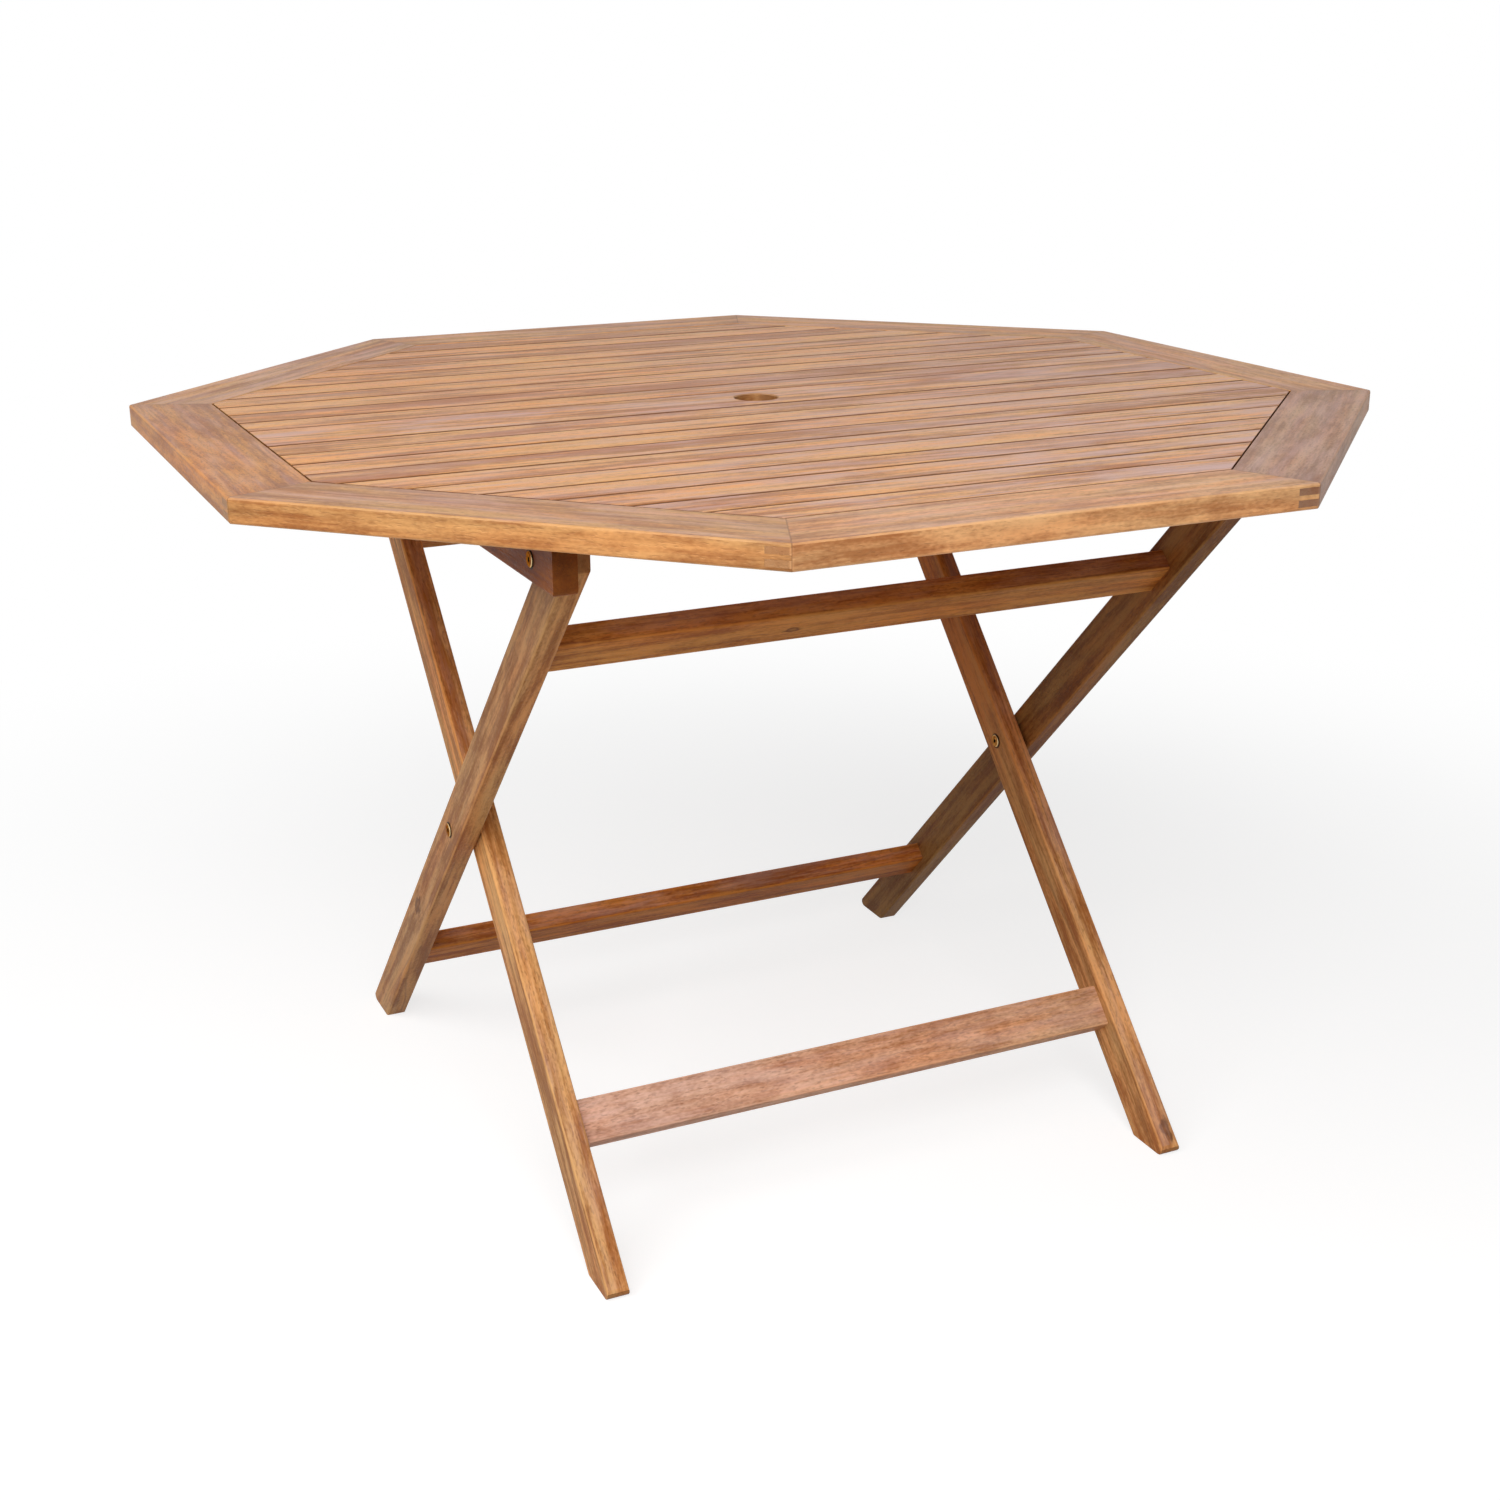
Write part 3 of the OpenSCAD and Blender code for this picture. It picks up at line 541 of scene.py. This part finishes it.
def slats_tree():
    """Narrow slats on both sides of the middle one, their ends cut to the octagon of the rim."""
    tree, given = new_tree("Narrow slats", "GeometryNodeTree", {
        "Slats per side": "Int", "Slat width": "Float", "Gap": "Float",
        "Middle slat width": "Float", "Thickness": "Float", "Middle height": "Float",
        "Reach": "Float", "Tongue reach": "Float", "Rounding": "Float",
        "Tongue thickness": "Float", "Unevenness": "Float", "Seed": "Int", "Wood": "Material",
    }, {"Geometry": "Geometry"})
    put = functools.partial(add, tree)

    # One point for each slat, first the front ones and then the back ones
    count = given["Slats per side"]
    index = put("GeometryNodeInputIndex")
    in_row = put(MATHS, index, count, operation="MODULO")
    side = put(MATHS, index, put(MATHS, count, 0.5, operation="SUBTRACT"),
               operation="GREATER_THAN")
    side = put(MATHS, side, 2.0, -1.0, **TIMES_PLUS)
    pitch = put(MATHS, given["Slat width"], given["Gap"], operation="ADD")
    first = put(MATHS, given["Middle slat width"], given["Slat width"], operation="ADD")
    first = put(MATHS, first, 0.5, given["Gap"], **TIMES_PLUS)
    y = put(MATHS, in_row, pitch, first, **TIMES_PLUS)
    y = put(MATHS, side, y, **TIMES)
    drop = put("FunctionNodeRandomValue", {"ID": index, "Seed": given["Seed"]}, data_type="FLOAT")
    drop = put(MATHS, drop, given["Unevenness"], **TIMES)
    z = put(MATHS, given["Middle height"], drop, operation="SUBTRACT")
    points = put("GeometryNodePoints", put(MATHS, count, 2.0, **TIMES),
                 put(JOIN, 0.0, y, z))
    points = put("GeometryNodeStoreNamedAttribute", {
        "Geometry": points, "Name": "board", "Value": put(MATHS, index, 1.0, operation="ADD")},
        data_type="FLOAT", domain="POINT")

    # A bar on every point for its board and one for its tongues, drawn out to an octagon
    tongue_width = put(MATHS, given["Slat width"], 2 * MM, operation="SUBTRACT")
    whole = put("GeometryNodeJoinGeometry")
    for width, height, rounding, half_width in (
            (given["Slat width"], given["Thickness"], given["Rounding"], given["Reach"]),
            (tongue_width, given["Tongue thickness"], 0.3 * MM, given["Tongue reach"])):
        outline = put("GeometryNodeCurvePrimitiveQuadrilateral", width, height, mode="RECTANGLE")
        outline = put("GeometryNodeSubdivideCurve", outline, 7)
        outline = put("GeometryNodeFilletCurve", {
            "Curve": outline, "Radius": rounding, "Count": 3}, mode="POLY")
        spine = put("GeometryNodeCurvePrimitiveLine", (-1, 0, 0), (1, 0, 0))
        spine = put("GeometryNodeResampleCurve", {"Curve": spine, "Count": 15})
        bar = put("GeometryNodeCurveToMesh", {
            "Curve": spine, "Profile Curve": outline, "Fill Caps": True})
        # The fillet also splits the points on the straight sides, which leaves empty faces
        bar = put("GeometryNodeMergeByDistance", {"Geometry": bar, "Distance": 0.01 * MM})
        # The caps are cut up while they are flat, as the octagon bends some of them
        bar = put("GeometryNodeTriangulate", {"Mesh": bar}, ngon_method="BEAUTY")
        bar = put("GeometryNodeInstanceOnPoints", {"Points": points, "Instance": bar})
        bar = put("GeometryNodeRealizeInstances", bar)
        here = put(SPLIT, put("GeometryNodeInputPosition")).outputs
        off_middle = put(MATHS, here[1], operation="ABSOLUTE")
        reach = put(MATHS, half_width, math.sqrt(2), **TIMES)
        reach = put(MATHS, reach, off_middle, operation="SUBTRACT")
        reach = put(MATHS, half_width, reach, operation="MINIMUM")
        moved = put(JOIN, put(MATHS, here[0], reach, **TIMES), here[1], here[2])
        bar = put("GeometryNodeSetPosition", {"Geometry": bar, "Position": moved})
        tree.links.new(bar.outputs[0], whole.inputs[0])
    out = put("GeometryNodeRealizeInstances", whole)
    put("NodeGroupOutput", put("GeometryNodeSetMaterial", {
        "Geometry": out, "Material": given["Wood"]}))
    return tree


def screws_tree():
    """A countersunk wood screw with a cross recess on every point, head down."""
    tree, given = new_tree("Batten screws", "GeometryNodeTree", {
        "Geometry": "Geometry", "Shank": "Float", "Head": "Float", "Length": "Float",
        "Pitch": "Float", "Plating": "Material"}, {"Geometry": "Geometry"})
    put = functools.partial(add, tree)
    shank_r = put(MATHS, given["Shank"], 0.5, **TIMES)
    head_r = put(MATHS, given["Head"], 0.5, **TIMES)
    core_r = put(MATHS, given["Shank"], 0.36, **TIMES)
    head_h = put(MATHS, head_r, shank_r, operation="SUBTRACT")
    body_l = put(MATHS, given["Length"], given["Shank"], operation="SUBTRACT")
    smooth_l = put(MATHS, given["Length"], 0.33, **TIMES)
    thread_l = put(MATHS, body_l, smooth_l, operation="SUBTRACT")

    # Head with its cross recess, smooth shank, core with its thread, and tip
    recess_l = put(MATHS, given["Head"], 0.55, **TIMES)
    bar = put("GeometryNodeMeshCube", put(JOIN, recess_l, SCREW_RECESS_W, SCREW_RECESS_DEPTH))
    other = put("GeometryNodeTransform", {"Geometry": bar, "Rotation": Euler((0, 0, math.pi / 2))})
    cross = put("GeometryNodeMeshBoolean", operation="UNION", solver="EXACT")
    for arm in (bar, other):
        tree.links.new(arm.outputs[0], cross.inputs[1])
    head = put("GeometryNodeMeshCone", {
        "Vertices": 32, "Radius Bottom": head_r, "Radius Top": shank_r, "Depth": head_h})
    head = put("GeometryNodeMeshBoolean", head, cross, operation="DIFFERENCE", solver="EXACT")
    smooth = put("GeometryNodeMeshCylinder", {
        "Vertices": 16, "Radius": shank_r, "Depth": smooth_l})
    core = put("GeometryNodeMeshCylinder", {"Vertices": 12, "Radius": core_r, "Depth": thread_l})
    tip = put("GeometryNodeMeshCone", {
        "Vertices": 12, "Radius Bottom": core_r, "Radius Top": 0.2 * MM,
        "Depth": given["Shank"]})
    spiral = put("GeometryNodeCurveSpiral", {
        "Resolution": 10, "Rotations": put(MATHS, thread_l, given["Pitch"], operation="DIVIDE"),
        "Start Radius": core_r, "End Radius": core_r, "Height": thread_l})
    ridge = put("GeometryNodeCurvePrimitiveCircle", {
        "Resolution": 3, "Radius": put(MATHS, shank_r, core_r, operation="SUBTRACT")},
        mode="RADIUS")
    thread = put("GeometryNodeCurveToMesh", {
        "Curve": spiral, "Profile Curve": ridge, "Fill Caps": True})
    screw = put("GeometryNodeJoinGeometry")
    for form, height in (
            (head, 0.0), (smooth, put(MATHS, smooth_l, 0.5, **TIMES)),
            (core, put(MATHS, thread_l, 0.5, smooth_l, **TIMES_PLUS)),
            (thread, smooth_l), (tip, body_l)):
        lifted = put("GeometryNodeTransform", {
            "Geometry": form, "Translation": put(JOIN, 0.0, 0.0, height)})
        tree.links.new(lifted.outputs[0], screw.inputs[0])
    out = put("GeometryNodeInstanceOnPoints", {"Points": given["Geometry"], "Instance": screw})
    out = put("GeometryNodeRealizeInstances", out)
    put("NodeGroupOutput", put("GeometryNodeSetMaterial", {
        "Geometry": out, "Material": given["Plating"]}))
    return tree


# ---- Operators


class FitRim(bpy.types.Operator):
    """Oil the eight rim boards, each with its grain along its own side of the octagon"""

    bl_idname = "garden_table.rim"
    bl_label = "Rim boards"

    def execute(self, context):
        rim = [node for node in BOARDS if node.startswith("rim_")]
        for k, node in enumerate(rim):
            angle = math.radians(45 * k - 90)
            outward = (math.cos(angle), math.sin(angle), 0)
            along = (math.sin(angle), -math.cos(angle), 0)
            finish(node, oiled_acacia(node, RIM_NUMBER + k, *BOARDS[node],
                                      (0, 0, middle(node).z), along, outward, mitred=True))
        return {"FINISHED"}


class LaySlats(bpy.types.Operator):
    """Lay the narrow slats between the rim boards and oil them with the wide middle one"""

    bl_idname = "garden_table.slats"
    bl_label = "Slats"

    def execute(self, context):
        sizes = context.scene.garden_table_top
        front = [f"slat_front_{k + 1}" for k in range(sizes.slats_per_side)]
        back = [f"slat_back_{k + 1}" for k in range(sizes.slats_per_side)]
        near, far = (Vector(corner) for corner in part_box(front[0]))
        low, high = (Vector(corner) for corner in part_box("slat_centre"))
        middle_height = (near.z + far.z) / 2
        tops = [v.co.x for v in NODES[front[0]].data.vertices if v.co.z > far.z - 3 * MM]
        # The slats' sides that face a gap get painted shade
        wood = oiled_acacia("slats", None, *BOARDS["slat_centre"], centre=(0, 0, middle_height),
                            gap_shade=0.95)
        values = {
            "Slats per side": sizes.slats_per_side, "Slat width": far.y - near.y,
            "Gap": low.y - far.y, "Middle slat width": high.y - low.y,
            "Thickness": far.z - near.z, "Middle height": middle_height,
            "Reach": max(tops), "Tongue reach": far.x,
            "Rounding": sizes.slat_rounding, "Tongue thickness": TONGUE_T,
            "Unevenness": sizes.slat_unevenness, "Seed": 4, "Wood": wood}
        slats = realized("slats", slats_tree(), values, "tabletop")
        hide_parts(*front, *back)
        finish("slat_centre", oiled_acacia("slat_centre", CENTRE_NUMBER, *BOARDS["slat_centre"],
                                           centre=middle("slat_centre"), gap_shade=0.95))
        return {"FINISHED"}


class FixBattens(bpy.types.Operator):
    """Oil the two battens and drive the screws that hold the top to them"""

    bl_idname = "garden_table.battens"
    bl_label = "Battens and screws"

    def execute(self, context):
        sizes = context.scene.garden_table_top
        # The battens' ring round the hinge bolt heads is painted contact shadow
        for number, node in enumerate(("batten_left", "batten_right")):
            finish(node, oiled_acacia(node, BATTEN_NUMBER + number, *BOARDS[node], middle(node),
                                      (0, 1, 0), (0, 0, 1), gloss=0.1,
                                      ring=(JOINTS["top_hinge"]["pos_m"], head_radius())))
        low, high = (Vector(corner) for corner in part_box("batten_screws"))
        rows = sorted(middle(node).y for node in NODES if node.startswith("slat_"))
        end = high.y - sizes.screw_head / 2
        rows = [-end] + [y for y in rows if abs(y) < end - 20 * MM] + [end]
        points = [(side * middle("batten_right").x, y, low.z) for side in (-1, 1) for y in rows]
        values = {
            "Shank": sizes.screw_diameter, "Head": sizes.screw_head, "Length": high.z - low.z,
            "Pitch": THREAD_PITCH, "Plating": metal(
                "zinc_plated_screw_steel", "#b9b6ae", "#8d887c", "#d2cfc8", "#e8e6e0", 0.38,
                2 * MM)}
        screws = realized("batten_screw_set", screws_tree(), values, "tabletop", points)
        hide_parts("batten_screws")
        return {"FINISHED"}


class FitLegFrames(bpy.types.Operator):
    """Oil the legs and rails of both frames, with the grain along each piece"""

    bl_idname = "garden_table.leg_frames"
    bl_label = "Leg frames"

    def execute(self, context):
        crossing = Vector(JOINTS["leg_crossing"]["pos_m"])
        hinge = Vector(JOINTS["top_hinge"]["pos_m"])
        outer = (hinge - crossing).normalized()
        inner = (middle("inner_upper_rail") - middle("inner_lower_rail")).normalized()
        # The legs' ring round the crossing bolt heads is painted contact shadow
        ring = (crossing, head_radius())
        frames = [node for node in BOARDS if node.startswith(("outer_", "inner_"))]
        for number, node in enumerate(frames):
            leg_axis = outer if node.startswith("outer_") else inner
            if "leg" in node:
                centre, along = Vector((middle(node).x, 0, crossing.z)), leg_axis
                across = Vector((1, 0, 0)).cross(leg_axis)
            else:
                centre, along, across = middle(node), Vector((1, 0, 0)), leg_axis
            finish(node, oiled_acacia(node, LEG_NUMBER + number, *BOARDS[node], centre, along,
                                      across, gloss=0.1, ring=ring if "leg" in node else None))
        return {"FINISHED"}


class FitHardware(bpy.types.Operator):
    """Plate the bolts, sleeves and washers, and leave the dowels as turned beech"""

    bl_idname = "garden_table.hardware"
    bl_label = "Bolts, washers and dowels"

    def execute(self, context):
        brass = metal("aged_brass_plated_steel", "#b07f4c", "#7d5230", "#ecd2a0", "#c49668", 0.4,
                      3 * MM)
        zinc = metal("zinc_plated_washer_steel", "#aaa79e", "#86827a", "#c6c3bb", "#e0ded8", 0.4,
                     3 * MM)
        for node in ("hinge_bolts", "hinge_sleeves", "crossing_bolts", "crossing_sleeves"):
            finish(node, brass)
        for node in ("hinge_washers", "crossing_washers"):
            finish(node, zinc)
        for number, node in enumerate(("outer_frame_dowels", "inner_frame_dowels")):
            # Beech looks paler, pinker and plainer than the boards
            beech = oiled_acacia(node, DOWEL_NUMBER + number, (1.2, -0.2), (1.2, -0.2), 0.0, 0.3)
            beech.name = "turned_beech_" + node
            finish(node, beech)
        return {"FINISHED"}


class SetStage(bpy.types.Operator):
    """Stand the table on a pale floor, in soft light, before a camera at the photo's angle"""

    bl_idname = "garden_table.stage"
    bl_label = "Stage"

    def execute(self, context):
        stage = context.scene.garden_table_stage
        self.set_camera(context, stage)
        self.lay_floor(context, stage)
        self.hang_lamps(context, stage)
        self.light_world(context, stage)
        context.scene.view_settings.view_transform = "Standard"
        return {"FINISHED"}

    def set_camera(self, context, stage):
        heading, dip, roll = stage.camera_turn, stage.camera_dip, stage.camera_roll
        ahead = Vector((math.sin(heading) * math.cos(dip), math.cos(heading) * math.cos(dip),
                        -math.sin(dip)))
        right = Vector((math.cos(heading), -math.sin(heading), 0))
        down = ahead.cross(right)
        right, down = (math.cos(roll) * right + math.sin(roll) * down,
                       math.cos(roll) * down - math.sin(roll) * right)
        axes = Matrix((right, -down, -ahead)).transposed()
        data = bpy.data.cameras.new("camera")
        data.lens = stage.camera_lens
        data.sensor_width = 36
        camera = bpy.data.objects.new("camera", data)
        camera.matrix_world = Matrix.Translation(stage.camera_place) @ axes.to_4x4()
        context.scene.collection.objects.link(camera)
        context.scene.camera = camera

    def lay_floor(self, context, stage):
        """A floor whose shade shows near the table and which runs out to plain white."""
        half = FLOOR_HALF
        mesh = bpy.data.meshes.new("floor")
        mesh.from_pydata([(-half, -half, 0), (half, -half, 0), (half, half, 0), (-half, half, 0)],
                         [], [(0, 1, 2, 3)])
        floor = bpy.data.objects.new("floor", mesh)
        floor.location.z = -FLOOR_BELOW
        context.scene.collection.objects.link(floor)
        material = new_material("painted_studio_floor")
        put = functools.partial(add, material.node_tree)
        seen = seen_directly(put)
        bounce = put("ShaderNodeBsdfDiffuse", linear("#cfc9c2"))
        shade = put("ShaderNodeBsdfDiffuse", list(stage.floor))
        glow = put("ShaderNodeEmission", WHITE, stage.glow)
        shown = put("ShaderNodeAddShader", shade, glow)
        away = put(VECTORS, put("ShaderNodeTexCoord").outputs["Object"], operation="LENGTH")
        away = put(RANGE, away, 0.7, 1.9, 0.0, 1.0, **SOFT)
        white = put("ShaderNodeEmission", WHITE, 1.0)
        shown = put("ShaderNodeMixShader", away, shown, white)
        put("ShaderNodeOutputMaterial", put("ShaderNodeMixShader", seen, bounce, shown))
        mesh.materials.append(material)

    def hang_lamps(self, context, stage):
        aim = Vector((0, 0, 0.4))
        lamps = (
            ("key_lamp", stage.key, 2.8, Vector((-1.43, -3.1, 2.87))),
            ("side_lamp", stage.side, 2.4, Vector((-3.2, -0.86, 3.0))))
        for name, power, size, place in lamps:
            data = bpy.data.lights.new(name, "AREA")
            data.shape = "DISK"
            data.size = size
            data.energy = power
            lamp = bpy.data.objects.new(name, data)
            lamp.location = place
            lamp.rotation_euler = (aim - place).to_track_quat("-Z", "Y").to_euler()
            context.scene.collection.objects.link(lamp)

    def light_world(self, context, stage):
        world = bpy.data.worlds.new("studio")
        world.use_nodes = True
        world.node_tree.nodes.clear()
        context.scene.world = world
        put = functools.partial(add, world.node_tree)
        seen = seen_directly(put)
        height = put(SPLIT, put("ShaderNodeTexCoord").outputs["Generated"]).outputs[2]
        strength = put(RANGE, height, 0.0, 1.0, stage.horizon, stage.horizon + stage.overhead)
        soft = put("ShaderNodeBackground", WHITE, strength)
        white = put("ShaderNodeBackground", WHITE, 1.0)
        put("ShaderNodeOutputWorld", put("ShaderNodeMixShader", seen, soft, white))


OPERATORS = (SetStage, FitRim, LaySlats, FixBattens, FitLegFrames, FitHardware)


class GardenTablePanel(bpy.types.Panel):
    """The table's sizes and colours, and a button for each group of pieces"""

    bl_idname = "VIEW3D_PT_garden_table"
    bl_label = "Garden table"
    bl_space_type = "VIEW_3D"
    bl_region_type = "UI"
    bl_category = "Garden table"

    def draw(self, context):
        scene = context.scene
        for group in (scene.garden_table_wood, scene.garden_table_top, scene.garden_table_stage):
            box = self.layout.box()
            for name in group.__annotations__:
                box.prop(group, name)
        for operator in OPERATORS:
            self.layout.operator(operator.bl_idname)


CLASSES = (TableWood, TableTop, TableStage, *OPERATORS, GardenTablePanel)


def register():
    for cls in CLASSES:
        bpy.utils.register_class(cls)
    bpy.types.Scene.garden_table_wood = PointerProperty(type=TableWood)
    bpy.types.Scene.garden_table_top = PointerProperty(type=TableTop)
    bpy.types.Scene.garden_table_stage = PointerProperty(type=TableStage)


def unregister():
    del bpy.types.Scene.garden_table_stage
    del bpy.types.Scene.garden_table_top
    del bpy.types.Scene.garden_table_wood
    for cls in reversed(CLASSES):
        bpy.utils.unregister_class(cls)


def main():
    register()
    bpy.ops.garden_table.stage()
    bpy.ops.garden_table.rim()
    bpy.ops.garden_table.slats()
    bpy.ops.garden_table.battens()
    bpy.ops.garden_table.leg_frames()
    bpy.ops.garden_table.hardware()


if __name__ == "__main__":
    main()
